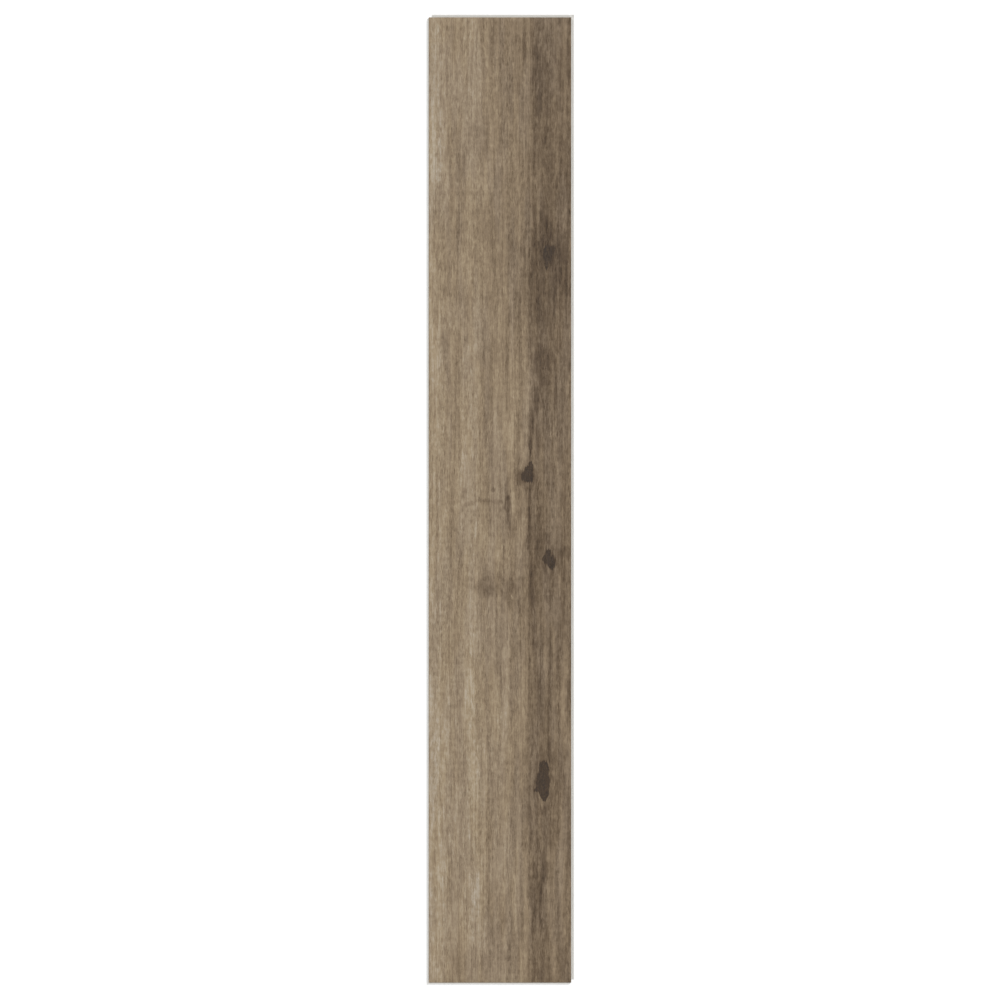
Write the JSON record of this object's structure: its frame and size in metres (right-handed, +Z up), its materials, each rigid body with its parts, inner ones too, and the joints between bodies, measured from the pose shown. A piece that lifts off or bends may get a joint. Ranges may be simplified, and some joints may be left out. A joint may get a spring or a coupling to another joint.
{
  "type": "rigid core vinyl plank",
  "caption": "Wood-look rigid core vinyl floor plank with a bevelled face, and a tongue and a locking groove milled along its four edges.",
  "frame": {"origin": "on the underside, below the middle of the face", "axes": "+Z up out of the walking face, +Y along the plank towards the grooved end, +X across it towards the grooved long edge"},
  "size_m": [0.1859, 1.2259, 0.005],
  "materials": {
    "plank": "printed brown oak film under a matt embossed wear layer, on a pale grey stone-plastic core"
  },
  "bodies": {
    "root": {"plank": "plank"}
  },
  "joints": []
}
